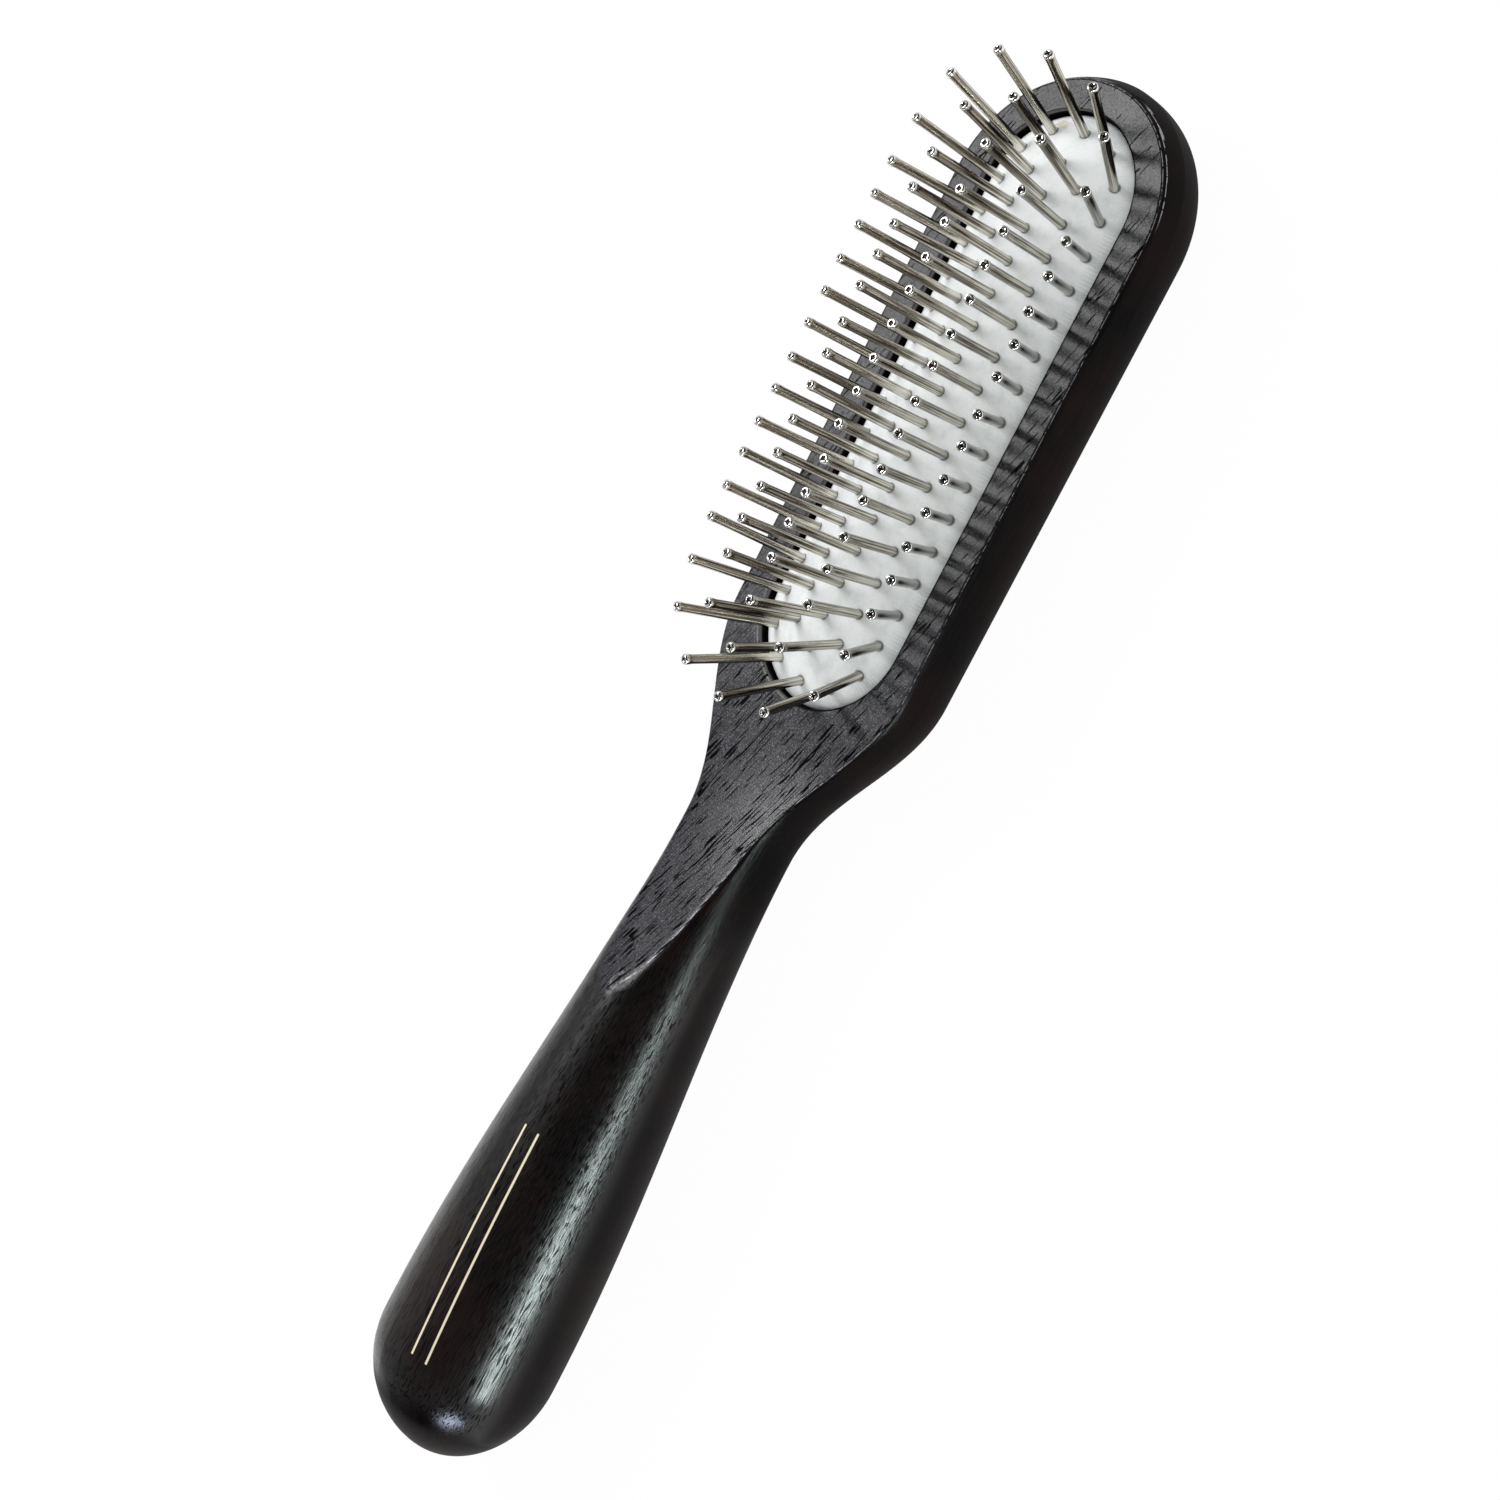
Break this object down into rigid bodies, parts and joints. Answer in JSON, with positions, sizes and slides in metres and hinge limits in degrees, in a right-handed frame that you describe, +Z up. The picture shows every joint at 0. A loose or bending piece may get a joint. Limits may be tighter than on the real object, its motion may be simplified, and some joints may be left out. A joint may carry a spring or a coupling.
{
  "type": "dematting pin brush",
  "caption": "Dog grooming pin brush: dark wooden body with a long oblong head and tapered round handle, and a domed white pad that carries rows of straight steel pins.",
  "frame": {"origin": "on the ground under the middle of the brush's length and width, with the brush lying on its back", "axes": "+X along the brush from the handle's end to the tip of the head, +Z up through the pins, Y across the head"},
  "size_m": [0.2452, 0.0422, 0.0395],
  "materials": {
    "stained_wood": "satin",
    "white_pad": "matte",
    "pin_steel": "polished"
  },
  "bodies": {
    "root": {"wood_body": "stained_wood", "pad": "white_pad", "pin_row_01": "pin_steel", "pin_row_02": "pin_steel", "pin_row_03": "pin_steel", "pin_row_04": "pin_steel", "pin_row_05": "pin_steel", "pin_row_06": "pin_steel", "pin_row_07": "pin_steel", "pin_row_08": "pin_steel", "pin_row_09": "pin_steel", "pin_row_10": "pin_steel", "pin_row_11": "pin_steel", "pin_row_12": "pin_steel", "pin_row_13": "pin_steel", "pin_row_14": "pin_steel", "pin_row_15": "pin_steel", "pin_row_16": "pin_steel", "pin_row_17": "pin_steel", "pin_row_18": "pin_steel", "pin_row_19": "pin_steel", "pin_row_20": "pin_steel", "pin_row_21": "pin_steel", "pin_row_22": "pin_steel", "pin_row_23": "pin_steel", "pin_row_24": "pin_steel", "pin_row_25": "pin_steel", "pin_row_26": "pin_steel", "pin_row_27": "pin_steel", "pin_row_28": "pin_steel", "pin_row_29": "pin_steel", "pin_row_30": "pin_steel", "pin_row_31": "pin_steel", "pin_row_32": "pin_steel", "pin_row_33": "pin_steel"}
  },
  "joints": []
}
